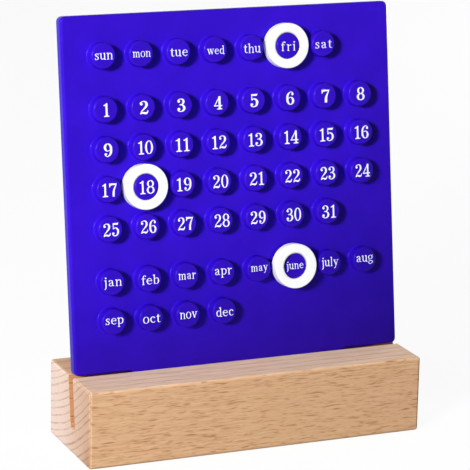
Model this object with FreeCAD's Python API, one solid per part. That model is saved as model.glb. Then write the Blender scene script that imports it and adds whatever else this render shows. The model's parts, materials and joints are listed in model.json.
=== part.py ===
import FreeCAD, Part
import math
import os

# Perpetual desk calendar: a solid beech block with a slot sawn along its whole length, a moulded
# panel whose tongue stands in the slot and leans back, fifty studs moulded on the panel for the
# days of the week, the dates and the months, and three loose rings that mark today.
# Millimetres. The origin is the centre of the block's footprint on the table, +Z is up, the
# reader looks along +Y and the block's front face is its -Y face.

V = FreeCAD.Vector
X_AXIS = V(1, 0, 0)
Y_AXIS = V(0, 1, 0)

# Beech block
block_width = 181.0
block_depth = 60.0
block_height = 39.8
block_edge_radius = 1.5

# Slot, tilted back by the lean, open at both ends of the block
lean_degrees = 8.0
slot_setback = 25.5       # from the block's front face to the slot's front wall, at the top
slot_depth = 26.2         # along the lean
slot_play = 0.3           # between the tongue and each wall of the slot

# Moulded panel
panel_width = 178.3
panel_height = 179.0
panel_thickness = 6.0
panel_corner_radius = 2.8
panel_front_radius = 1.5
panel_back_bevel = 0.3
shoulder_lift = 0.3       # from the block's top up to the panel's lower edge

# Tongue that stands in the slot
tongue_width = 118.0
tongue_corner_radius = 3.0
tongue_seat_gap = 0.3     # between the tongue's end and the floor of the slot

# Studs, in rows filled from the left, one group under another
stud_diameter = 13.0
stud_length = 6.2
stud_pitch = 19.8
group_pitch = 26.5        # from the last row of one group down to the first row of the next
top_row_margin = 20.0     # from the panel's top edge down to the first row
studs_per_row = 8
stud_counts = {"day": 7, "date": 31, "month": 12}

# Marker rings
ring_diameter = 22.9
ring_thickness = 5.7
ring_bore_clearance = 0.1     # on the radius, a light push fit that holds a ring where it is put
ring_edge_bevel = 0.5
ring_standoff = 0.7           # from the panel's front face to a ring that is pushed right down
loose_ring_standoff = 2.3     # of the month's ring, which isn't pushed right down
ring_standoffs = {"day": ring_standoff, "date": ring_standoff, "month": loose_ring_standoff}
marked = {"day": 6, "date": 18, "month": 6}    # Friday, the 18th, June

# One overrun for every cut that runs out of its solid
overrun = 5.0


def leaning_frame():
    """Frame of the panel: X along the block, Z up the lean, the panel's front face at Y = 0.

    Its origin is where the front face's plane meets the block's top.
    """
    back_shift = slot_play / math.cos(math.radians(lean_degrees))
    origin = V(0, -block_depth / 2 + slot_setback + back_shift, block_height)
    return FreeCAD.Placement(origin, FreeCAD.Rotation(X_AXIS, -lean_degrees))


def leaned(shape):
    """Move a shape drawn in the panel's own frame to its place on the block."""
    placed = shape.copy()
    placed.Placement = leaning_frame().multiply(shape.Placement)
    return placed


def base_block():
    corner = V(-block_width / 2, -block_depth / 2, 0)
    block = Part.makeBox(block_width, block_depth, block_height, corner)
    block = block.makeFillet(block_edge_radius, block.Edges)
    slot_start = V(-block_width / 2 - overrun, -slot_play, -slot_depth)
    slot = Part.makeBox(
        block_width + 2 * overrun,
        panel_thickness + 2 * slot_play,
        slot_depth + overrun,
        slot_start,
    )
    return block.cut(leaned(slot))


def rounded_slab(width, thickness, low, high, radius, corners):
    """Upright slab with its front at Y = 0; the named corners of its outline are rounded."""
    slab = Part.makeBox(width, thickness, high - low, V(-width / 2, 0, low))
    edges = []
    for edge in slab.Edges:
        middle = edge.BoundBox.Center
        runs_through = edge.BoundBox.YLength > thickness / 2
        at_low = middle.z < (low + high) / 2
        if runs_through and ("low" if at_low else "high") in corners:
            edges.append(edge)
    return slab.makeFillet(radius, edges)


def face_edges(shape, depth):
    """Edges of a slab that lie in the plane Y = depth."""
    within = panel_thickness / 4
    return [
        edge
        for edge in shape.Edges
        if edge.BoundBox.YLength < within and abs(edge.BoundBox.Center.y - depth) < within
    ]


def plate():
    top = shoulder_lift + panel_height
    slab = rounded_slab(
        panel_width, panel_thickness, shoulder_lift, top, panel_corner_radius, ("low", "high")
    )
    slab = slab.makeFillet(panel_front_radius, face_edges(slab, 0))
    return slab.makeChamfer(panel_back_bevel, face_edges(slab, panel_thickness))


def tongue():
    """Runs up past the plate's rounded lower edge, so that the front stays one flat face."""
    low = tongue_seat_gap - slot_depth
    high = shoulder_lift + panel_front_radius + panel_back_bevel
    return rounded_slab(tongue_width, panel_thickness, low, high, tongue_corner_radius, ("low",))


def stud_centre(group, number):
    """Place of a stud on the panel's front face, as its X and its height up the lean."""
    first_height = shoulder_lift + panel_height - top_row_margin
    for name, count in stud_counts.items():
        if name == group:
            break
        last_row = (count - 1) // studs_per_row
        first_height -= last_row * stud_pitch + group_pitch
    row, column = divmod(number - 1, studs_per_row)
    first_column = -(studs_per_row - 1) * stud_pitch / 2
    return first_column + column * stud_pitch, first_height - row * stud_pitch


def turned(profile, across, up):
    """Solid of revolution about a stud's axis; the profile's points are (radius, height)."""
    points = [V(across + radius, -height, up) for radius, height in profile]
    face = Part.Face(Part.makePolygon(points + points[:1]))
    return face.revolve(V(across, 0, up), Y_AXIS, 360)


def stud(group, number):
    """A plain round peg, rooted in the middle of the plate."""
    radius = stud_diameter / 2
    root = -panel_thickness / 2
    profile = [(0, root), (radius, root), (radius, stud_length), (0, stud_length)]
    return turned(profile, *stud_centre(group, number))


def panel():
    studs = [
        stud(group, number + 1)
        for group, count in stud_counts.items()
        for number in range(count)
    ]
    moulding = plate().fuse(tongue()).removeSplitter()
    return leaned(moulding.multiFuse(studs).removeSplitter())


def ring(group):
    """Flat ring with a bevelled rim, pushed onto the marked stud."""
    outer = ring_diameter / 2
    bore = stud_diameter / 2 + ring_bore_clearance
    back = ring_standoffs[group]
    front = back + ring_thickness
    profile = [
        (bore, back),
        (outer - ring_edge_bevel, back),
        (outer, back + ring_edge_bevel),
        (outer, front - ring_edge_bevel),
        (outer - ring_edge_bevel, front),
        (bore, front),
    ]
    return leaned(turned(profile, *stud_centre(group, marked[group])))


def main():
    os.makedirs("parts", exist_ok=True)
    nodes = {"base_block": base_block(), "panel": panel()}
    for group in stud_counts:
        nodes[group + "_ring"] = ring(group)
    for name, shape in nodes.items():
        solid = shape.Solids[0] if len(shape.Solids) == 1 else shape
        print(name, "solids", len(shape.Solids), "volume", round(shape.Volume), shape.isValid())
        solid.exportStep("parts/" + name + ".step")


main()
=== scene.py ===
import json
import math

import bmesh
import bpy
from mathutils import Matrix, Vector
from mathutils.geometry import delaunay_2d_cdt


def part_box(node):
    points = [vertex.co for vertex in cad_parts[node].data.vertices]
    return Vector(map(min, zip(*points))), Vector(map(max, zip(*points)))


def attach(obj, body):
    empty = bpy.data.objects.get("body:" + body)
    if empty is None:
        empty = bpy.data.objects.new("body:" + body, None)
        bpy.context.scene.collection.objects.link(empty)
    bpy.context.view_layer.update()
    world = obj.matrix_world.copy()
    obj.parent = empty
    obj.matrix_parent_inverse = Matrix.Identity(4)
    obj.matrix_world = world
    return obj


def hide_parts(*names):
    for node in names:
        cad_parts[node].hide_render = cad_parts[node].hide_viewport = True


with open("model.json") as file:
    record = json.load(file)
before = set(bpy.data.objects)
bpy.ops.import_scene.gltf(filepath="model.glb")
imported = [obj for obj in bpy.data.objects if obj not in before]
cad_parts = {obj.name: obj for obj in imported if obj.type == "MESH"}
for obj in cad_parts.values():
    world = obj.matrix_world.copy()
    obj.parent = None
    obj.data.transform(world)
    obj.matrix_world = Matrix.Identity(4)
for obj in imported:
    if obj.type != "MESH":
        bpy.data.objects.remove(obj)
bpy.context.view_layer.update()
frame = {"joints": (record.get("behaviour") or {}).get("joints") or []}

# Perpetual desk calendar: a beech block, a blue moulding with fifty printed studs that stands in
# the block's slot, and three white rings. Sizes are written in millimetres and turned into
# metres by one factor.
mm = 0.001

# Slot and panel, as the solids have them
slot_setback = 25.5 * mm
slot_depth = 26.2 * mm
slot_play = 0.3 * mm
panel_width = 178.3 * mm
panel_height = 179.0 * mm
panel_thickness = 6.0 * mm
panel_corner_radius = 2.8 * mm
panel_front_radius = 1.5 * mm
panel_back_radius = 0.3 * mm
shoulder_lift = 0.3 * mm
tongue_width = 118.0 * mm
tongue_corner_radius = 3.0 * mm
tongue_seat_gap = 0.3 * mm

# Studs
stud_radius = 6.5 * mm
stud_length = 6.2 * mm
stud_root_radius = 0.9 * mm
stud_tip_radius = 1.1 * mm
stud_pitch = 19.8 * mm
group_pitch = 26.5 * mm
top_row_margin = 20.0 * mm
studs_per_row = 8
stud_labels = {
    "day": ["sun", "mon", "tue", "wed", "thu", "fri", "sat"],
    "date": [str(number + 1) for number in range(31)],
    "month": ["jan", "feb", "mar", "apr", "may", "june", "july", "aug", "sep", "oct", "nov", "dec"],
}

# Rings
ring_clearance = 0.1 * mm
ring_rim_radius = 0.5 * mm
ring_bore_edge_radius = 0.25 * mm
ring_bore_front_radius = 1.1 * mm

# Block edges
block_edge_radius = 1.5 * mm
slot_edge_radius = 0.3 * mm

# How finely round forms are divided
round_steps = 64
fillet_steps = 6

# How near points count as one, and how near the panel's face a point counts as on it
weld_distance = mm / 1000
merge_distance = mm / 10000
face_distance = mm / 100

# What the triangulation is asked for: the triangles inside the outlines
triangles_inside = 1

block_low, block_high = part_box("base_block")
lean_up = Vector(next(joint["axis"] for joint in frame["joints"] if joint["name"] == "panel_lift"))
lean_sine = lean_up.y
lean_cosine = lean_up.z
panel_front_y = block_low.y + slot_setback + slot_play / lean_cosine      # at the block's top
slot_points = slice(2, 6)            # of the block's section
sharp_angle = math.radians(40)
flat_face_weight = 100


def panel_matrix():
    """From the panel's own frame, X along the block, -Y out of its face and Z up the lean."""
    inwards = Vector((0, lean_cosine, -lean_sine))
    axes = Matrix((Vector((1, 0, 0)), inwards, lean_up)).transposed()
    return Matrix.Translation((0, panel_front_y, block_high.z)) @ axes.to_4x4()


def new_piece(name, bm, place=None):
    """Turns a bmesh into an object at the origin, with smooth faces."""
    if place is not None:
        bm.transform(place)
    mesh = bpy.data.meshes.new(name)
    bm.to_mesh(mesh)
    bm.free()
    mesh.shade_smooth()
    piece = bpy.data.objects.new(name, mesh)
    bpy.context.scene.collection.objects.link(piece)
    return piece


def apply_modifiers(piece):
    """Replaces a piece's mesh by what its modifiers make of it."""
    graph = bpy.context.evaluated_depsgraph_get()
    mesh = bpy.data.meshes.new_from_object(piece.evaluated_get(graph))
    piece.modifiers.clear()
    piece.data = mesh


def weigh_normals(piece):
    """Keeps flat faces flat where they run into small rounds."""
    piece.data.set_sharp_from_angle(angle=sharp_angle)
    weigh = piece.modifiers.new("weighted normals", "WEIGHTED_NORMAL")
    weigh.keep_sharp = True
    weigh.weight = flat_face_weight
    apply_modifiers(piece)


def quarter_round():
    """Angles from 0 to a right angle, one for each line of points along a rounded edge."""
    return [step / fillet_steps * math.pi / 2 for step in range(fillet_steps + 1)]


def circle(radius, steps=round_steps):
    """Points round the middle, as pairs."""
    return [
        (radius * math.cos(2 * math.pi * step / steps), radius * math.sin(2 * math.pi * step / steps))
        for step in range(steps)
    ]


def turned_loops(bm, x, z, profile, steps):
    """A closed loop of points for each (radius, height) of a form that stands on the panel's face."""
    return [
        [bm.verts.new((x + a, -height, z + b)) for a, b in circle(radius, steps)]
        for radius, height in profile
    ]


def bridge(bm, loops):
    """Quads between each closed loop of points and the next."""
    for first, second in zip(loops, loops[1:]):
        count = len(first)
        for index in range(count):
            after = (index + 1) % count
            bm.faces.new((first[index], first[after], second[after], second[index]))


# Block

def block_section():
    """The block's end face as (y, z) points, with the slot's four corners in the middle."""
    corners = [(block_low.y, block_low.z), (block_low.y, block_high.z)]
    walls = (-slot_play, panel_thickness + slot_play)
    mouth = [(panel_front_y + wall / lean_cosine, block_high.z) for wall in walls]
    floor = [
        (
            panel_front_y + wall * lean_cosine - slot_depth * lean_sine,
            block_high.z - wall * lean_sine - slot_depth * lean_cosine,
        )
        for wall in walls
    ]
    corners += [mouth[0], floor[0], floor[1], mouth[1]]
    return corners + [(block_high.y, block_high.z), (block_high.y, block_low.z)]


def make_block():
    """The block with its slot, and with eased edges."""
    section = block_section()
    bm = bmesh.new()
    weight = bm.edges.layers.float.new("bevel_weight_edge")
    ends = [[bm.verts.new((x, y, z)) for y, z in section] for x in (block_low.x, block_high.x)]
    bm.faces.new(ends[0])
    bm.faces.new(reversed(ends[1]))
    for index in range(len(section)):
        after = (index + 1) % len(section)
        bm.faces.new((ends[0][after], ends[0][index], ends[1][index], ends[1][after]))
    bmesh.ops.recalc_face_normals(bm, faces=bm.faces)
    slot_edge_share = slot_edge_radius / block_edge_radius
    slot_corners = {vertex for end in ends for vertex in end[slot_points]}
    for edge in bm.edges:
        in_slot = all(vertex in slot_corners for vertex in edge.verts)
        edge[weight] = slot_edge_share if in_slot else 1
    piece = new_piece("beech_block", bm)
    bevel = piece.modifiers.new("eased edges", "BEVEL")
    bevel.limit_method = "WEIGHT"
    bevel.width = block_edge_radius
    bevel.segments = fillet_steps
    apply_modifiers(piece)
    weigh_normals(piece)
    return piece


# Panel

def rounded_outline(half_width, low, high, radius):
    """Points round an upright rectangle with rounded corners, as (x, z)."""
    points = []
    corners = (
        (half_width - radius, high - radius, 0),
        (radius - half_width, high - radius, 1),
        (radius - half_width, low + radius, 2),
        (half_width - radius, low + radius, 3),
    )
    for x, z, quarter in corners:
        for step in range(fillet_steps + 1):
            angle = (quarter + step / fillet_steps) * math.pi / 2
            points.append((x + radius * math.cos(angle), z + radius * math.sin(angle)))
    return points


def slab(bm, half_width, low, high, corner_radius, front_radius, back_radius):
    """Closed upright slab from Y = 0 to the panel's thickness, with rounded front and back edges."""
    levels = []
    for angle in quarter_round():
        inset = front_radius * (1 - math.sin(angle))
        levels.append((inset, front_radius * (1 - math.cos(angle))))
    for angle in quarter_round():
        inset = back_radius * (1 - math.cos(angle))
        levels.append((inset, panel_thickness - back_radius * (1 - math.sin(angle))))
    loops = []
    for inset, depth in levels:
        outline = rounded_outline(half_width - inset, low + inset, high - inset, corner_radius - inset)
        loops.append([bm.verts.new((x, depth, z)) for x, z in outline])
    bridge(bm, loops)
    bm.faces.new(loops[0])
    bm.faces.new(reversed(loops[-1]))


def make_plate():
    """Plate and tongue in one closed mesh, in the panel's own frame."""
    top = shoulder_lift + panel_height
    bm = bmesh.new()
    slab(bm, panel_width / 2, shoulder_lift, top,
         panel_corner_radius, panel_front_radius, panel_back_radius)
    plate = new_piece("moulding", bm)
    bm = bmesh.new()
    tongue_top = shoulder_lift + 2 * panel_corner_radius
    edge = panel_back_radius / 2
    slab(bm, tongue_width / 2, tongue_seat_gap - slot_depth, tongue_top + tongue_corner_radius,
         tongue_corner_radius, edge, edge)
    tongue = new_piece("tongue", bm)
    for piece in (plate, tongue):
        bm = bmesh.new()
        bm.from_mesh(piece.data)
        bmesh.ops.recalc_face_normals(bm, faces=bm.faces)
        bm.to_mesh(piece.data)
        bm.free()
    union = plate.modifiers.new("union", "BOOLEAN")
    union.operation = "UNION"
    union.object = tongue
    union.solver = "EXACT"
    apply_modifiers(plate)
    bpy.data.objects.remove(tongue)
    return plate


def stud_centre(group, number):
    """Place of a stud on the panel's face, as (x, z) in the panel's own frame."""
    first_height = shoulder_lift + panel_height - top_row_margin
    for name, labels in stud_labels.items():
        if name == group:
            break
        last_row = (len(labels) - 1) // studs_per_row
        first_height -= last_row * stud_pitch + group_pitch
    row, column = divmod(number, studs_per_row)
    first_column = -(studs_per_row - 1) * stud_pitch / 2
    return first_column + column * stud_pitch, first_height - row * stud_pitch


def stud_profile():
    """From the root's round, up the side and over the tip, as (radius, height)."""
    points = []
    for angle in quarter_round():
        radius = stud_radius + stud_root_radius * (1 - math.sin(angle))
        points.append((radius, stud_root_radius * (1 - math.cos(angle))))
    for angle in quarter_round():
        radius = stud_radius - stud_tip_radius * (1 - math.cos(angle))
        points.append((radius, stud_length - stud_tip_radius * (1 - math.sin(angle))))
    return points


def all_studs():
    """Every stud, as its group and its number in the group."""
    return [
        (group, number)
        for group, labels in stud_labels.items()
        for number in range(len(labels))
    ]


def make_moulding():
    """The plate with its studs, one closed mesh: the face is cut open and sewn round each stud."""
    plate = make_plate()
    bm = bmesh.new()
    bm.from_mesh(plate.data)
    bmesh.ops.remove_doubles(bm, verts=bm.verts, dist=weld_distance)
    face_parts = [
        face for face in bm.faces if all(abs(vertex.co.y) < face_distance for vertex in face.verts)
    ]
    bmesh.ops.delete(bm, geom=face_parts, context="FACES")
    rim = [edge for edge in bm.edges if edge.is_boundary]
    corners = list({vertex for edge in rim for vertex in edge.verts})
    place_of = {vertex: index for index, vertex in enumerate(corners)}
    points = [Vector((vertex.co.x, vertex.co.z)) for vertex in corners]
    edges = [tuple(place_of[vertex] for vertex in edge.verts) for edge in rim]
    holes = []
    for group, number in all_studs():
        x, z = stud_centre(group, number)
        loops = turned_loops(bm, x, z, stud_profile(), round_steps)
        bridge(bm, loops)
        bm.faces.new(loops[-1])
        first = len(points)
        points += [Vector((vertex.co.x, vertex.co.z)) for vertex in loops[0]]
        corners += loops[0]
        holes.append(list(range(first, first + len(loops[0]))))
    made = delaunay_2d_cdt(points, edges, holes, triangles_inside, merge_distance)
    _, _, made_faces, from_points, _, from_faces = made
    for face, sources in zip(made_faces, from_faces):
        if not sources:
            bm.faces.new([corners[from_points[index][0]] for index in face])
    bmesh.ops.recalc_face_normals(bm, faces=bm.faces)
    bpy.data.objects.remove(plate)
    piece = new_piece("blue_panel", bm, panel_matrix())
    weigh_normals(piece)
    return piece


# Rings

def ring_profile(bore, outer, back, front):
    """Closed section of a ring with rounded edges, as (radius, height). The corners' signs point
    from each corner into the ring."""
    points = []
    corners = (
        (outer, front, -1, -1, ring_rim_radius),
        (outer, back, -1, 1, ring_rim_radius),
        (bore, back, 1, 1, ring_bore_edge_radius),
        (bore, front, 1, -1, ring_bore_front_radius),
    )
    for radius, height, inwards, upwards, edge in corners:
        angles = quarter_round()
        if inwards * upwards > 0:
            angles.reverse()
        for angle in angles:
            across = radius + inwards * edge * (1 - math.cos(angle))
            points.append((across, height + upwards * edge * (1 - math.sin(angle))))
    return points


def make_ring(group):
    """Takes its place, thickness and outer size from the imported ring."""
    low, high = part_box(group + "_ring")
    inverse = panel_matrix().inverted()
    middle = inverse @ ((low + high) / 2)
    outer = (high.x - low.x) / 2
    span = (high.y - low.y - 2 * (outer - ring_rim_radius) * lean_sine) / lean_cosine
    back = -middle.y - span / 2
    bore = stud_radius + ring_clearance
    bm = bmesh.new()
    profile = ring_profile(bore, outer, back, back + span)
    loops = turned_loops(bm, middle.x, middle.z, profile, 2 * round_steps)
    bridge(bm, loops + loops[:1])
    bmesh.ops.recalc_face_normals(bm, faces=bm.faces)
    piece = new_piece(group + "_marker", bm, panel_matrix())
    weigh_normals(piece)
    return piece


# Prints on the studs

print_height = 0.05 * mm
print_root = 0.05 * mm
curve_steps = 6

# In the units of the glyphs below, which are 100 high
glyph_height = 100
stem_width = 18
foot_height = 6
number_gap = 6
letter_gap = 8
widest_gap = 22
thinnest_pen = 5.5
glyph_merge_distance = 0.01

narrowest_stretch = 1.1    # of a word's letters, before they get lower
widest_stretch = 1.3       # of the letters of a label, before they are spaced out
pen_weights = {"word": 0.68, 1: 0.98, 2: 0.84}      # share of the strokes' widths; numbers by digits

# Where the prints stand on their studs, and how large they are. The height of a word is that of
# its small letters without their risers and tails.
word_size = (9.3 * mm, 3.3 * mm)
number_sizes = {1: (4.4 * mm, 6.65 * mm), 2: (8.15 * mm, 6.65 * mm)}      # by digits
narrower_by_one = {1: 1.5 * mm, 2: 0.4 * mm}      # what each digit 1 takes off the width
word_shift = (0, -0.2 * mm)                       # to the right and up from the stud's middle
number_shift = (0.2 * mm, -0.1 * mm)


def bar(left, right, low, high):
    """Upright rectangle."""
    return ("shape", (left, low), (right, low), (right, high), (left, high))


def stem(x, low, high, width=stem_width):
    """Straight upright stroke, by its middle."""
    return ("stroke", (x, low, width), (x, high, width))


def foot(left, right, low=0):
    """Slab serif under a stem."""
    return bar(left, right, low, low + foot_height)


def flag(x, top):
    """Wedge serif on the left of a stem's top."""
    return ("shape", (x - 9, top - 9), (x, top - 18), (x + 3, top), (x - 9, top - 3))


def turned_round(shapes, width, height):
    """The same shapes turned by half a circle."""
    made = []
    for kind, *rest in shapes:
        if kind == "disc":
            x, y, radius = rest
            made.append((kind, width - x, height - y, radius))
        else:
            made.append((kind, *[(width - x, height - y, *widths) for x, y, *widths in rest]))
    return made


six = [
    ("disc", 46, 80, 8.5),
    ("stroke", (51, 81, 6), (46, 92, 6), (34, 97, 6), (20, 88, 11), (11, 70, 15), (9, 48, 16),
     (10, 28, 16), (18, 10, 11), (31, 3, 6), (43, 10, 12), (50, 29, 16), (44, 49, 12), (32, 57, 6),
     (19, 51, 6)),
]
left_stem = [stem(18, 0, 100), flag(9, 101), foot(4, 32)]
arch = [
    ("stroke", (23, 73, 8), (36, 88, 12), (50, 91, 14), (62, 81, 17), (65, 62, 18)),
    stem(65, 0, 64), foot(51, 80),
]

# Each glyph has its width and its shapes. Digits are 100 high, and so are small letters without
# their risers and tails. A stroke runs smoothly through its points, each with the pen's width there.
# A ring has its centre, its half width and height, and how thick it is at the sides and at the top.
glyph_shapes = {
    "0": (60, [("ring", 30, 50, 28.5, 50.5, 15.5, 6.5)]),
    "1": (46, [
        stem(25, 0, 92, 14), bar(6, 44, 0, 6.5),
        ("shape", (12, 7), (38, 7), (30, 13), (20, 13)),
        ("shape", (4, 81), (18, 81), (19, 90), (31.5, 90), (31.5, 100), (24, 100), (15, 91), (4, 87)),
    ]),
    "2": (60, [
        ("disc", 13, 77, 9),
        ("stroke", (6, 78, 6), (10, 89, 7), (27, 97, 6), (42, 91, 12), (48, 75, 17), (44, 58, 15),
         (30, 41, 10), (15, 24, 7), (8, 8, 8), (7, 2, 6)),
        ("stroke", (7, 5, 9), (15, 11, 11), (27, 11, 14), (41, 8, 15), (51, 14, 10), (56, 28, 5)),
    ]),
    "3": (60, [
        ("disc", 13, 79, 9),
        ("disc", 12, 22, 10),
        ("stroke", (6, 80, 6), (12, 91, 7), (27, 97, 6), (41, 90, 12), (46, 76, 15), (40, 60, 11),
         (25, 53, 6), (18, 53, 6)),
        ("stroke", (18, 53, 6), (28, 53, 6), (44, 45, 12), (50, 28, 17), (43, 11, 13), (27, 3, 6),
         (11, 8, 7), (4, 20, 6)),
    ]),
    "4": (64, [
        stem(44, 0, 99, 16), bar(24, 63, 0, 7),
        bar(1, 63, 24, 32),
        ("shape", (1, 28), (9, 30), (47, 93), (46, 100), (41, 99)),
    ]),
    "5": (60, [
        ("shape", (10, 87), (48, 85), (54, 100), (44, 99), (10, 99)),
        ("shape", (10, 52), (16, 55), (16, 95), (10, 99)),
        ("stroke", (12, 53, 6), (24, 62, 7), (38, 59, 12), (48, 45, 16), (49, 30, 17), (42, 11, 12),
         (26, 3, 6), (12, 7, 7), (5, 18, 6)),
        ("disc", 12, 21, 9.5),
    ]),
    "6": (60, six),
    "7": (60, [
        ("shape", (3, 70), (8, 70), (12, 83), (30, 86), (50, 84), (58, 99), (50, 96), (34, 98),
         (20, 100), (9, 97), (7, 100), (3, 100)),
        ("stroke", (54, 92, 6), (50, 82, 7), (41, 62, 11), (34, 40, 15), (32, 18, 17), (32, 0, 17)),
    ]),
    "8": (60, [("ring", 30, 74.5, 25, 26, 13.5, 6.5), ("ring", 30, 27, 28.5, 27.5, 15, 6.5)]),
    "9": (60, turned_round(six, 60, 100)),
    "a": (76, [
        ("disc", 16, 78, 10),
        ("stroke", (9, 81, 7), (18, 91, 9), (33, 94, 11), (47, 87, 15), (53, 70, 18), (53, 40, 18),
         (54, 20, 17), (61, 9, 12), (73, 10, 6)),
        ("stroke", (50, 59, 8), (34, 54, 11), (19, 42, 16), (14, 26, 17), (23, 10, 14), (37, 8, 11),
         (52, 20, 8)),
    ]),
    "b": (82, [
        stem(18, 4, 145), flag(9, 146),
        ("stroke", (23, 79, 8), (37, 91, 12), (53, 90, 15), (68, 73, 18), (70, 49, 19),
         (64, 22, 17), (49, 8, 12), (34, 6, 10), (19, 9, 10)),
    ]),
    "c": (70, [
        ("stroke", (62, 80, 8), (49, 92, 11), (32, 91, 14), (16, 74, 18), (12, 50, 19),
         (19, 22, 18), (37, 8, 12), (53, 10, 10), (66, 24, 7)),
        ("disc", 57, 79, 9.5),
    ]),
    "d": (82, [
        stem(64, 0, 145), flag(55, 146),
        ("stroke", (60, 82, 8), (45, 92, 11), (28, 90, 15), (14, 73, 18), (12, 48, 19),
         (18, 21, 17), (34, 8, 12), (49, 11, 11), (61, 24, 8)),
        ("shape", (60, 0), (83, 0), (83, 7), (70, 11)),
    ]),
    "e": (78, [
        ("stroke", (68, 57, 10), (63, 80, 13), (47, 93, 10), (31, 91, 13), (15, 74, 18),
         (12, 50, 19), (19, 22, 18), (38, 7, 13), (56, 9, 10), (70, 22, 7)),
        bar(16, 73, 52, 61),
    ]),
    "f": (52, [
        stem(22, 0, 104), foot(7, 40), bar(2, 49, 90, 98),
        ("stroke", (22, 102, 18), (25, 124, 17), (36, 139, 12), (50, 140, 9), (57, 133, 8)),
        ("disc", 52, 130, 9),
    ]),
    "g": (76, [
        ("ring", 33, 67, 31, 33, 16, 9),
        ("stroke", (52, 88, 8), (60, 96, 10), (71, 98, 11)),
        ("stroke", (17, 40, 8), (11, 27, 11), (21, 16, 12), (42, 12, 14), (61, 2, 16),
         (63, -16, 14), (47, -31, 11), (26, -34, 10), (10, -26, 12), (9, -10, 11), (19, 4, 8)),
    ]),
    "h": (82, [stem(18, 0, 145), flag(9, 146), foot(4, 32), *arch]),
    "i": (38, [*left_stem, ("disc", 19, 131, 12)]),
    "j": (34, [
        stem(18, 0, 100), flag(9, 101), ("disc", 19, 131, 12),
        ("stroke", (18, 2, 18), (17, -18, 17), (10, -34, 13), (-1, -42, 7)),
    ]),
    "l": (38, [stem(18, 0, 145), flag(9, 146), foot(4, 32)]),
    "m": (122, [
        stem(17.5, 0, 100), flag(9, 101), foot(4, 31),
        ("stroke", (22, 73, 7), (34, 88, 12), (46, 91, 14), (57, 81, 16), (59, 62, 17)),
        stem(59.5, 0, 64), foot(46, 73),
        ("stroke", (64, 73, 7), (76, 88, 12), (88, 91, 14), (99, 81, 16), (101, 62, 17)),
        stem(101.5, 0, 64), foot(88, 116),
    ]),
    "n": (82, [*left_stem, *arch]),
    "o": (78, [("ring", 39, 50, 37.5, 51.5, 18, 9.5)]),
    "p": (82, [
        stem(18, -42, 100), flag(9, 101), foot(4, 34, -42),
        ("stroke", (23, 79, 8), (37, 91, 12), (53, 90, 15), (68, 73, 18), (70, 49, 19),
         (64, 22, 17), (49, 8, 12), (36, 9, 11), (24, 18, 8)),
    ]),
    "r": (56, [
        *left_stem,
        ("stroke", (23, 70, 8), (34, 85, 12), (46, 91, 15), (54, 89, 15)),
        ("disc", 51, 87, 9.5),
    ]),
    "s": (60, [
        ("stroke", (49, 81, 7), (42, 91, 9), (28, 94, 11), (15, 87, 15), (12, 72, 17), (27, 56, 19),
         (44, 40, 18), (45, 19, 16), (30, 7, 11), (15, 9, 10), (8, 23, 7)),
        ("shape", (46, 68), (51, 68), (51, 98), (47, 98), (43, 88)),
        ("shape", (4, 32), (4, 2), (8, 2), (13, 12), (9, 32)),
    ]),
    "t": (54, [
        ("shape", (17, 28), (31, 28), (31, 128), (27, 128), (17, 110)),
        ("shape", (2, 90), (49, 90), (51, 98), (12, 98), (2, 93)),
        ("stroke", (24, 30, 18), (27, 14, 16), (37, 7, 12), (47, 9, 8), (53, 15, 6)),
    ]),
    "u": (82, [
        stem(16, 36, 100), flag(7, 101), flag(54, 101),
        ("stroke", (16, 38, 18), (19, 17, 16), (32, 8, 13), (46, 12, 11), (58, 26, 8)),
        stem(63, 0, 100),
        ("shape", (60, 0), (82, 0), (82, 7), (70, 11)),
    ]),
    "v": (80, [
        ("shape", (8, 96), (23, 96), (46, 24), (43, 0), (37, 0)),
        ("shape", (37, 0), (43, 0), (72, 96), (64, 96)),
        bar(1, 34, 93, 100), bar(56, 80, 93, 100),
    ]),
    "w": (116, [
        ("shape", (8, 96), (22, 96), (45, 20), (41, 0), (36, 0)),
        ("shape", (36, 0), (41, 0), (63, 82), (58, 93)),
        ("shape", (51, 96), (65, 96), (88, 20), (84, 0), (79, 0)),
        ("shape", (79, 0), (84, 0), (108, 96), (101, 96)),
        bar(1, 32, 93, 100), bar(44, 74, 93, 100), bar(93, 116, 93, 100),
    ]),
    "y": (80, [
        ("shape", (8, 96), (23, 96), (47, 26), (44, 2), (39, 4)),
        ("stroke", (68, 96, 9), (55, 52, 10), (40, 4, 11), (27, -26, 13), (14, -38, 13)),
        bar(1, 34, 93, 100), bar(56, 80, 93, 100),
    ]),
}


def spline(points):
    """Smooth line through points of any number of values, by cubic steps between neighbours."""
    line = []
    last = len(points) - 1
    for index in range(last):
        around = [points[min(max(index + shift, 0), last)] for shift in (-1, 0, 1, 2)]
        for step in range(curve_steps):
            t = step / curve_steps
            line.append(tuple(
                b + (c - a) / 2 * t + (a - 2.5 * b + 2 * c - d / 2) * t ** 2
                + (1.5 * (b - c) + (d - a) / 2) * t ** 3
                for a, b, c, d in zip(*around)
            ))
    return line + [points[-1]]


def pen(width, weight):
    """A stroke's width in a label of this weight."""
    return max(width * weight, min(width, thinnest_pen))


def stroke_quads(points, weight):
    """The strip that the pen covers along its line."""
    line = spline(points)
    sides = []
    for index, (x, y, width) in enumerate(line):
        before = line[max(index - 1, 0)]
        after = line[min(index + 1, len(line) - 1)]
        along = Vector((after[0] - before[0], after[1] - before[1])).normalized()
        along *= pen(width, weight) / 2
        sides.append(((x - along.y, y + along.x), (x + along.y, y - along.x)))
    return [
        [first[0], second[0], second[1], first[1]] for first, second in zip(sides, sides[1:])
    ]


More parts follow.
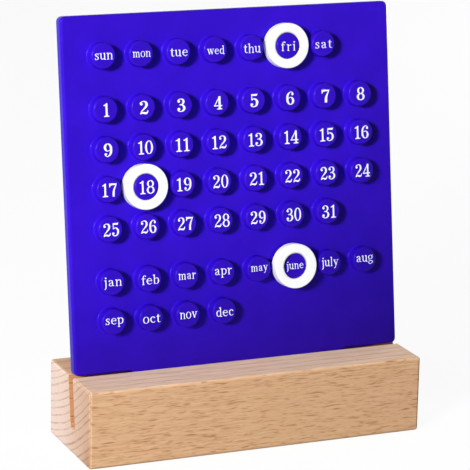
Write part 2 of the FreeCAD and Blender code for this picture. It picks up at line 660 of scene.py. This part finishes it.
def ring_quads(weight, x, y, half_width, half_height, side, top):
    """The strip between two ovals."""
    side, top = pen(side, weight), pen(top, weight)
    outside = [(x + a * half_width, y + b * half_height) for a, b in circle(1)]
    inside = [(x + a * (half_width - side), y + b * (half_height - top)) for a, b in circle(1)]
    return [
        [outside[index - 1], outside[index], inside[index], inside[index - 1]]
        for index in range(len(outside))
    ]


def polygons(weight, kind, *rest):
    """The polygons of one shape of a glyph."""
    if kind == "stroke":
        return stroke_quads(rest, weight)
    if kind == "ring":
        return ring_quads(weight, *rest)
    if kind == "disc":
        x, y, radius = rest
        radius *= (1 + weight) / 2
        return [[(x + a, y + b) for a, b in circle(radius, round_steps // 2)]]
    return [list(rest)]


def area(polygon):
    """Above 0 where the points run against the clock."""
    return sum(
        before[0] * after[1] - after[0] * before[1]
        for before, after in zip(polygon[-1:] + polygon[:-1], polygon)
    ) / 2


def merged(shapes, weight):
    """One outline out of overlapping shapes: its points, triangles and boundary edges."""
    points = []
    faces = []
    for shape in shapes:
        for polygon in polygons(weight, *shape):
            if area(polygon) < 0:
                polygon.reverse()
            faces.append(list(range(len(points), len(points) + len(polygon))))
            points += [Vector(point) for point in polygon]
    made = delaunay_2d_cdt(points, [], faces, triangles_inside, glyph_merge_distance)
    made_points, _, made_faces, _, _, from_faces = made
    triangles = [face for face, sources in zip(made_faces, from_faces) if sources]
    sides = {}
    for face in triangles:
        for start, end in zip(face, face[1:] + face[:1]):
            if (end, start) in sides:
                del sides[end, start]
            else:
                sides[start, end] = True
    return [tuple(point) for point in made_points], triangles, list(sides)


def add_print(bm, glyph, place, size):
    """Closed thin solid of one glyph; place and size are (x, z) pairs on the panel's face."""
    points, triangles, sides = glyph
    levels = []
    for height in (stud_length - print_root, stud_length + print_height):
        levels.append({})
        for index in {index for face in triangles for index in face}:
            x, z = (start + scale * value for start, scale, value in zip(place, size, points[index]))
            levels[-1][index] = bm.verts.new((x, -height, z))
    for face in triangles:
        bm.faces.new([levels[1][index] for index in face])
        bm.faces.new([levels[0][index] for index in reversed(face)])
    for start, end in sides:
        bm.faces.new((levels[0][start], levels[0][end], levels[1][end], levels[1][start]))


def glyph_box(glyph):
    """The least and the greatest x of a glyph, and then the same of its y."""
    used = [glyph[0][index] for face in glyph[1] for index in face]
    return [(min(values), max(values)) for values in zip(*used)]


def pen_weight(label):
    """How heavy a label is drawn."""
    return pen_weights["word"] if label.isalpha() else pen_weights[len(label)]


def label_room(label):
    """Width and height of a label's print, before its letters are fitted."""
    if label.isalpha():
        return word_size
    width, height = number_sizes[len(label)]
    return width - label.count("1") * narrower_by_one[len(label)], height


def add_label(bm, glyphs, label, centre):
    """Sets a word or a number on its stud, by its box."""
    weight = pen_weight(label)
    boxes = [glyph_box(glyphs[letter, weight]) for letter in label]
    advances = [glyph_shapes[letter][0] for letter in label]
    width, height = label_room(label)
    right, above = word_shift if label.isalpha() else number_shift
    gap = letter_gap if label.isalpha() else number_gap
    gaps = len(label) - 1
    left = boxes[0][0][0]
    span = sum(advances[:-1]) + boxes[-1][0][1] - left
    fitted = width / (span + gap * gaps)
    scale = height / glyph_height
    if label.isalpha():
        scale = min(scale, fitted / narrowest_stretch)
    across = min(fitted, scale * widest_stretch)
    if gaps:
        gap = min((width / across - span) / gaps, widest_gap)
    low = min(box[1][0] for box in boxes)
    high = max(box[1][1] for box in boxes)
    x = centre[0] + right - (span + gap * gaps) * across / 2 - left * across
    z = centre[1] + above - (low + high) / 2 * scale
    for letter, advance in zip(label, advances):
        add_print(bm, glyphs[letter, weight], (x, z), (across, scale))
        x += (advance + gap) * across


def make_prints(group, glyphs):
    """All the labels of one group, in one piece."""
    bm = bmesh.new()
    for number, label in enumerate(stud_labels[group]):
        add_label(bm, glyphs, label, stud_centre(group, number))
    piece = new_piece(group + "_prints", bm, panel_matrix())
    piece.data.shade_flat()
    return piece


# Materials

class Material:
    """A small builder of node materials with one shader."""

    def __init__(self, name):
        self.material = bpy.data.materials.new(name)
        self.material.use_nodes = True
        self.nodes = self.material.node_tree.nodes
        self.links = self.material.node_tree.links
        self.shader = self.nodes["Principled BSDF"]

    def add(self, kind, inputs=None, **settings):
        """Adds a node; inputs are values or sockets by the name or place of the input."""
        node = self.nodes.new("ShaderNode" + kind)
        for name, value in settings.items():
            setattr(node, name, value)
        for name, value in (inputs or {}).items():
            self.feed(node.inputs[name], value)
        return node

    def feed(self, socket, value):
        if isinstance(value, bpy.types.NodeSocket):
            self.links.new(value, socket)
        else:
            socket.default_value = value

    def math(self, operation, *values):
        inputs = dict(enumerate(values))
        return self.add("Math", inputs, operation=operation).outputs[0]

    def split(self, vector):
        return self.add("SeparateXYZ", {0: vector}).outputs

    def join(self, *values):
        return self.add("CombineXYZ", dict(enumerate(values))).outputs[0]

    def place(self, scale=(1, 1, 1)):
        """The piece's own coordinates in metres, stretched."""
        coordinates = self.add("TexCoord").outputs["Object"]
        return self.add("Mapping", {"Vector": coordinates, "Scale": scale}).outputs[0]

    def noise(self, size, detail=2.0, stretch=(1, 1, 1), vector=None):
        """Noise with features of about the given size, from 0 to 1."""
        where = self.place(stretch) if vector is None else vector
        inputs = {"Vector": where, "Scale": 1 / size, "Detail": detail}
        return self.add("TexNoise", inputs).outputs["Fac"]

    def blend(self, factor, first, second, mode="MIX"):
        """Mix of two colours."""
        node = self.add("Mix", data_type="RGBA", blend_type=mode)
        self.feed(node.inputs[0], factor)
        self.feed(node.inputs[6], first)
        self.feed(node.inputs[7], second)
        return node.outputs[2]

    def map(self, value, low, high, to_low=0.0, to_high=1.0):
        inputs = {0: value, 1: low, 2: high, 3: to_low, 4: to_high}
        node = self.add("MapRange", inputs, clamp=True, interpolation_type="SMOOTHSTEP")
        return node.outputs[0]

    def bump(self, height, distance, strength=1.0):
        inputs = {"Height": height, "Distance": distance, "Strength": strength}
        self.feed(self.shader.inputs["Normal"], self.add("Bump", inputs).outputs[0])


def colour(red, green, blue):
    """A screen colour, 0 to 255, as the linear values that a shader takes."""
    linear = []
    for value in (red, green, blue):
        share = value / 255
        linear.append(share / 12.92 if share <= 0.04045 else ((share + 0.055) / 1.055) ** 2.4)
    return (*linear, 1.0)


# Plastics and print
cloud_range = (0.3, 0.7)                # what part of a noise is stretched to run from 0 to 1
texture_size = 0.4 * mm
texture_depth = 0.02 * mm
blue_clouds = (16 * mm, 4 * mm)         # room of the clouds of tone, and of those of roughness
blue_tones = (colour(53, 16, 201), colour(57, 18, 210))
blue_roughness = (0.2, 0.25)
blue_specular = 0.06
blue_texture = 0.25                     # how strongly the fine texture shows
white_clouds = (11 * mm, 3 * mm)
white_tones = (colour(232, 232, 233), colour(237, 237, 237))
white_roughness = (0.36, 0.44)
white_specular = 0.3
white_texture = 0.2
print_clouds = 1.4 * mm
print_tones = (colour(230, 230, 234), colour(236, 236, 239))
print_roughness = 0.5
print_specular = 0.2


def plastic(name, clouds, tones, roughness, specular, texture_strength):
    """Moulded plastic with faint clouds of tone and roughness, and a very fine texture."""
    made = Material(name)
    mottle = made.map(made.noise(clouds[0], 3), *cloud_range)
    made.feed(made.shader.inputs["Base Color"], made.blend(mottle, *tones))
    dulled = made.map(made.noise(clouds[1], 3), *cloud_range, *roughness)
    made.feed(made.shader.inputs["Roughness"], dulled)
    made.shader.inputs["Specular IOR Level"].default_value = specular
    made.bump(made.noise(texture_size, 2), texture_depth, texture_strength)
    return made.material


def blue_moulding():
    return plastic(
        "blue moulding", blue_clouds, blue_tones, blue_roughness, blue_specular, blue_texture
    )


def white_moulding():
    return plastic(
        "white moulding", white_clouds, white_tones, white_roughness, white_specular, white_texture
    )


def white_print():
    """Pad print, matte, with small uneven spots."""
    made = Material("white print")
    made.feed(made.shader.inputs["Base Color"], made.blend(made.noise(print_clouds, 2), *print_tones))
    made.shader.inputs["Roughness"].default_value = print_roughness
    made.shader.inputs["Specular IOR Level"].default_value = print_specular
    return made.material


# Beech, sawn from beside the heart of a trunk that lies along X
heart_y = 64.5 * mm
heart_z = 151.7 * mm
mean_radius = 165.0 * mm                 # of the growth rings in the block
growth_spacing = 3.76 * mm
growth_unevenness = 7 * mm               # over how much of the radius the spacing changes
growth_wander = 1.4 * mm                 # how far the growth rings stray from round
wander_length = 14 * mm
wander_stretch = (0.15, 1, 1)
wave_length = 9.0 * mm                   # of the grain's fine waves
wave_height = 0.9 * mm
wave_stretch = (1, 0.8, 0.8)
line_range = (0.02, 0.19)                # half a growth line's width, as shares of the spacing
line_clouds = 9 * mm                     # room of the clouds where the lines are fainter or darker
faintest_line = 0.35
long_line_share = 0.12                   # how strong the lines are on the long sides
end_line_share = 0.75
top_line_share = 0.5
fibre_width = 0.8 * mm
fibre_stretch = 0.06
tone_clouds = 24 * mm
tone_stretch = (0.3, 1, 1)
tone_share = 0.7
# how strongly painted shade darkens the slot's walls
slot_shade_share = 0.9
pore_size = 0.6 * mm
relief_depth = 0.03 * mm
relief_strength = 0.5
fleck_depth = 18.0 * mm                  # of a ray, out from the heart
large_fleck = (9.0 * mm, 0.56 * mm)      # room of one fleck, along the grain and across it
large_fleck_range = (0.57, 0.77)
small_fleck = (5.5 * mm, 0.36 * mm)
small_fleck_range = (0.54, 0.76)
small_fleck_share = 0.7
across_fleck_share = 0.25                # what is left of the flecks on the top and the ends
end_range = (0.45, 0.9)                  # of how squarely a face looks along X
level_range = (0.5, 0.95)                # of how squarely a face looks up
slot_side = (12 * mm, 18 * mm)           # how far from the middle the slot's walls end, on Y, where their painted shade fades out
foot_shade_range = (-30 * mm, -12 * mm)       # darkest and palest end grain of the painted shade at the front corner's foot, by Y and a share of Z
foot_shade_slope = 0.7
shaded_top = 8 * mm                      # from the middle to here on Y, the top gets browner by painted shade behind the panel
end_front_shade_stop = 22 * mm                      # where on Y the painted shade on the end grain has faded out, so that it is palest
side_tones = (colour(206, 162, 121), colour(224, 183, 144))
side_cloud_tone = colour(216, 173, 134)
# Painted shade of the slot's walls, where less light falls
slot_shade_tone = colour(200, 143, 98)
# The top's wood colour, made paler than the sides' by painted sheen
top_tones_with_sheen = (colour(210, 177, 149), colour(230, 200, 173))
end_tones = (colour(226, 201, 187), colour(238, 216, 204))
wood_roughness = (0.56, 0.64)
wood_specular = 0.02

# What darker places multiply the wood's colour by: painted shade behind the panel, on the end grain
# towards the front and at the foot of its front corner, and on the ends' rounded edges; then the
# grain's lines and flecks
panel_shade_tint = colour(234, 222, 206)
end_front_shade_tint = colour(222, 205, 186)
foot_shade_tint = colour(228, 217, 204)
end_edge_shade_tint = colour(232, 230, 228)
line_tint = colour(203, 180, 168)
fleck_tint = colour(208, 187, 166)


def grain(made):
    """A place in the trunk: along it, round the growth ring and out from the heart, in metres."""
    x, y, z = made.split(made.place())
    across = made.math("SUBTRACT", y, heart_y)
    down = made.math("SUBTRACT", z, heart_z)
    length = made.add("VectorMath", {0: made.join(0, across, down)}, operation="LENGTH")
    wander = made.noise(wander_length, 2, wander_stretch)
    radius = made.math("MULTIPLY_ADD", wander, growth_wander, length.outputs["Value"])
    along = made.math("MULTIPLY", made.math("ARCTAN2", down, across), mean_radius)
    wave = made.noise(wave_length, 2, wave_stretch)
    return x, made.math("MULTIPLY_ADD", wave, wave_height, along), radius


def growth_lines(made, radius):
    """Thin dark line at the end of each year's growth, from 0 to 1."""
    uneven = made.noise(growth_unevenness, 1, vector=made.join(radius, 0, 0))
    year = made.math("MULTIPLY_ADD", radius, 1 / growth_spacing, uneven)
    from_line = made.math("ABSOLUTE", made.math("SUBTRACT", made.math("FRACT", year), 0.5))
    line = made.map(from_line, *line_range, 1, 0)
    strength = made.map(made.noise(line_clouds, 2), *cloud_range, faintest_line, 1)
    return made.math("MULTIPLY", line, strength)


def ray_flecks(made, places, room, low, high):
    """Short dark dashes of one size, where the rays that run out from the heart come to the surface."""
    sizes = (*room, fleck_depth)
    scaled = [made.math("DIVIDE", value, size) for value, size in zip(places, sizes)]
    return made.map(made.noise(1, 1, vector=made.join(*scaled)), low, high)


def all_flecks(made, places):
    """Large and small flecks together, from 0 to 1."""
    large = ray_flecks(made, places, large_fleck, *large_fleck_range)
    small = ray_flecks(made, places, small_fleck, *small_fleck_range)
    return made.math("MAXIMUM", large, made.math("MULTIPLY", small, small_fleck_share))


def facing(made, axis, low, high):
    """1 where the surface faces along the axis, 0 where it faces across it."""
    normal = made.split(made.add("TexCoord").outputs["Normal"])[axis]
    return made.map(made.math("ABSOLUTE", normal), low, high)


def side_wood(made, y, fibre):
    """Planed faces, and painted shade that darkens the walls of the slot."""
    wood = made.blend(fibre, *side_tones)
    tone = made.map(made.noise(tone_clouds, 2, tone_stretch), *cloud_range)
    wood = made.blend(made.math("MULTIPLY", tone, tone_share), wood, side_cloud_tone)
    # painted shade on the slot's walls
    slot_shade = made.map(made.math("ABSOLUTE", y), *slot_side, 1, 0)
    return made.blend(made.math("MULTIPLY", slot_shade, slot_shade_share), wood, slot_shade_tone)


def top_wood_sheen_and_shade(made, y, fibre):
    """The block's top, made paler than the sides by painted sheen, and browner behind the panel by
    painted shade.
    """
    wood = made.blend(fibre, *top_tones_with_sheen)
    # painted shade behind the panel
    return made.blend(made.map(y, 0, shaded_top), wood, panel_shade_tint, "MULTIPLY")


def end_wood(made, y, z):
    """End grain, with painted shade that darkens it towards the front and at the foot of its front
    corner.
    """
    pores = made.map(made.noise(pore_size, 2), *cloud_range)
    wood = made.blend(pores, *end_tones)
    # painted shade: the end grain darkens towards the front
    end_front_shade = made.map(y, -block_high.y, end_front_shade_stop, 1, 0)
    wood = made.blend(end_front_shade, wood, end_front_shade_tint, "MULTIPLY")
    # painted shade at the foot of the front corner, near the floor
    foot_shade = made.map(made.math("MULTIPLY_ADD", z, foot_shade_slope, y), *foot_shade_range, 1, 0)
    return made.blend(foot_shade, wood, foot_shade_tint, "MULTIPLY")


def beech():
    """Fibres, growth lines and ray flecks that run through all the block's faces."""
    made = Material("beech")
    x, along, radius = grain(made)
    y, z = made.split(made.place())[1:3]
    end = facing(made, 0, *end_range)
    level = facing(made, 2, *level_range)
    streaks = made.join(made.math("MULTIPLY", x, fibre_stretch), along, radius)
    fibre = made.map(made.noise(fibre_width, 3, vector=streaks), *cloud_range)
    wood = made.blend(level, side_wood(made, y, fibre), top_wood_sheen_and_shade(made, y, fibre))
    wood = made.blend(end, wood, end_wood(made, y, z))
    # Painted shade on the rounded edges round the ends, which damps their highlight
    edge = made.math("MULTIPLY", made.math("MULTIPLY", end, made.math("SUBTRACT", 1, end)), 4)
    wood = made.blend(edge, wood, end_edge_shade_tint, "MULTIPLY")
    end_share = made.map(end, 0, 1, long_line_share, end_line_share)
    share = made.math("MAXIMUM", end_share, made.map(level, 0, 1, 0, top_line_share))
    lines = made.math("MULTIPLY", growth_lines(made, radius), share)
    wood = made.blend(lines, wood, line_tint, "MULTIPLY")
    flecks = all_flecks(made, (x, along, radius))
    left = made.map(made.math("MAXIMUM", end, level), 0, 1, 1, across_fleck_share)
    wood = made.blend(made.math("MULTIPLY", flecks, left), wood, fleck_tint, "MULTIPLY")
    made.feed(made.shader.inputs["Base Color"], wood)
    made.feed(made.shader.inputs["Roughness"], made.map(fibre, 0, 1, *wood_roughness))
    made.shader.inputs["Specular IOR Level"].default_value = wood_specular
    made.bump(made.math("MULTIPLY_ADD", flecks, -1.0, fibre), relief_depth, relief_strength)
    return made.material


# Stage, lamps and camera

floor_size = 6.0
white_share = 0.92      # how much of the floor's look is plain white, so that its shadow stays faint
ambient_level = 0.05
floor_bounce = colour(138, 138, 138)      # what the light finds, and then what the camera finds
floor_seen = colour(244, 244, 246)
floor_roughness = 0.9


def seen_directly(nodes, links):
    """1 for what the camera sees, also in a mirror or through glass, and 0 for light on its way."""
    rays = nodes.new("ShaderNodeLightPath")
    seen = rays.outputs["Is Camera Ray"]
    for name in ("Is Glossy Ray", "Is Transmission Ray"):
        either = nodes.new("ShaderNodeMath")
        either.operation = "MAXIMUM"
        links.new(seen, either.inputs[0])
        links.new(rays.outputs[name], either.inputs[1])
        seen = either.outputs[0]
    return seen


def make_floor():
    """White where it is seen, and grey for the light that it sends up."""
    bm = bmesh.new()
    bmesh.ops.create_grid(bm, x_segments=1, y_segments=1, size=floor_size / 2)
    floor = new_piece("floor", bm)
    made = Material("floor")
    seen = seen_directly(made.nodes, made.links)
    made.feed(made.shader.inputs["Base Color"], made.blend(seen, floor_bounce, floor_seen))
    made.shader.inputs["Roughness"].default_value = floor_roughness
    white = made.add("Emission", {"Color": (1, 1, 1, 1), "Strength": 1.0})
    share = made.math("MULTIPLY", seen, white_share)
    mix = made.add("MixShader", {0: share, 1: made.shader.outputs[0], 2: white.outputs[0]})
    made.links.new(mix.outputs[0], made.nodes["Material Output"].inputs["Surface"])
    floor.data.materials.append(made.material)
    return floor


def make_world():
    """White behind the object, a low even light on it."""
    world = bpy.data.worlds.new("studio")
    world.use_nodes = True
    bpy.context.scene.world = world
    nodes = world.node_tree.nodes
    links = world.node_tree.links
    level = nodes.new("ShaderNodeMapRange")
    level.inputs["To Min"].default_value = ambient_level
    links.new(seen_directly(nodes, links), level.inputs["Value"])
    backdrop = nodes["Background"]
    backdrop.inputs["Color"].default_value = (1, 1, 1, 1)
    links.new(level.outputs[0], backdrop.inputs["Strength"])


def aim(thing, place, target):
    """Stands a lamp in its place and turns it to what it lights."""
    thing.location = place
    thing.rotation_euler = (Vector(target) - Vector(place)).to_track_quat("-Z", "Y").to_euler()


def link_light(lamp, receivers):
    """The lamp lights only these pieces; everything still casts its shadow."""
    lit = bpy.data.collections.new(lamp.name + " lights")
    for piece in receivers:
        lit.objects.link(piece)
    lamp.light_linking.receiver_collection = lit


def add_lamp(name, place, level, size, receivers=None):
    """Square soft lamp; level is how bright it makes a white face that is square on to it."""
    data = bpy.data.lights.new(name, "AREA")
    data.shape = "SQUARE"
    data.size = size
    data.energy = level * math.pi ** 2 * (lit_middle - Vector(place)).length_squared
    lamp = bpy.data.objects.new(name, data)
    bpy.context.scene.collection.objects.link(lamp)
    aim(lamp, place, lit_middle)
    if receivers:
        link_light(lamp, receivers)


def add_spot(name, place, target, level, receivers):
    """Round lamp whose light fades towards the edge of its cone; level as for the square ones."""
    data = bpy.data.lights.new(name, "SPOT")
    data.spot_size = math.radians(spot_cone_degrees)
    data.spot_blend = spot_fade
    data.shadow_soft_size = spot_radius
    data.energy = level * 4 * math.pi ** 2 * spot_distance ** 2
    lamp = bpy.data.objects.new(name, data)
    bpy.context.scene.collection.objects.link(lamp)
    aim(lamp, place, target)
    link_light(lamp, receivers)


lit_middle = Vector((0, 0, 0.1))
key_direction = Vector((-0.73, -0.60, 0.33)).normalized()
key_distance = 1.5
key_size = 0.28
key_level = 1.27
spot_distance = 2.5
spot_level = 1.23           # of the five together
spot_radius = 0.06
spot_spread = 0.12          # how far the outer four stand from the middle one, across and up
spot_cone_degrees = 15.1
spot_fade = 0.1
spot_aim = Vector((-255 * mm, 0, 305 * mm))     # in the panel's own frame
fill_lamps = {      # where each stands, its level and its size
    "overhead": ((-0.35, -0.25, 1.3), 0.41, 0.5),
    "white_fill": ((0.1, -1.5, 0.4), 0.12, 0.6),
    "rear_fill": ((1.5, 0.9, 0.2), 0.85, 0.4),
}


def make_lamps(moulding, others, whites):
    """One key from the upper left of the reader; on the panel it fades to the lower right."""
    add_lamp("key", lit_middle + key_direction * key_distance, key_level, key_size, others)
    sideways = key_direction.cross((0, 0, 1)).normalized()
    upwards = sideways.cross(key_direction)
    target = panel_matrix() @ spot_aim
    places = ((0, 0), (-1, -1), (-1, 1), (1, -1), (1, 1))
    for number, (across, up) in enumerate(places):
        shift = (sideways * across + upwards * up) * spot_spread
        name = "panel_key_" + str(number + 1)
        place = lit_middle + key_direction * spot_distance + shift
        add_spot(name, place, target, spot_level / len(places), [moulding])
    for name, lit in (("overhead", others), ("white_fill", whites), ("rear_fill", None)):
        add_lamp(name, *fill_lamps[name], lit)


camera_place = (-0.478498, -1.1094, 0.420067)
camera_yaw = math.radians(23.2262)
camera_pitch = math.radians(14.6228)
camera_roll = math.radians(1.223)
camera_lens = 188.975      # in millimetres, as is the sensor
camera_sensor = 36
nearest_seen = 0.05


def make_camera():
    """The photograph's view, by the camera's yaw, pitch and roll."""
    forward = Vector((math.sin(camera_yaw), math.cos(camera_yaw), 0)) * math.cos(camera_pitch)
    forward.z = -math.sin(camera_pitch)
    right = Vector((math.cos(camera_yaw), -math.sin(camera_yaw), 0))
    up = right.cross(forward)
    across = math.cos(camera_roll) * right + math.sin(camera_roll) * up
    upwards = math.cos(camera_roll) * up - math.sin(camera_roll) * right
    data = bpy.data.cameras.new("camera")
    data.lens = camera_lens
    data.sensor_width = camera_sensor
    data.clip_start = nearest_seen
    camera = bpy.data.objects.new("camera", data)
    axes = Matrix((across, upwards, -forward)).transposed()
    camera.matrix_world = Matrix.Translation(camera_place) @ axes.to_4x4()
    bpy.context.scene.collection.objects.link(camera)
    bpy.context.scene.camera = camera


def finish_piece(piece, body, material, node=None):
    """Gives a piece its look and the body that it rides, and hides the solid that it stands for."""
    piece.data.materials.append(material)
    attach(piece, body)
    if node:
        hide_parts(node)


block = make_block()
finish_piece(block, "base", beech(), "base_block")
moulding = make_moulding()
finish_piece(moulding, "panel", blue_moulding(), "panel")
white = white_moulding()
markers = []
for group in stud_labels:
    marker = make_ring(group)
    finish_piece(marker, group + "_ring", white, group + "_ring")
    markers.append(marker)
printed = white_print()
glyphs = {
    (letter, pen_weight(label)): merged(glyph_shapes[letter][1], pen_weight(label))
    for labels in stud_labels.values() for label in labels for letter in label
}
prints = []
for group in stud_labels:
    words = make_prints(group, glyphs)
    finish_piece(words, "panel", printed)
    prints.append(words)
floor = make_floor()
make_world()
make_lamps(moulding, [block, floor] + markers + prints, markers + prints)
make_camera()
bpy.context.scene.view_settings.view_transform = "Standard"
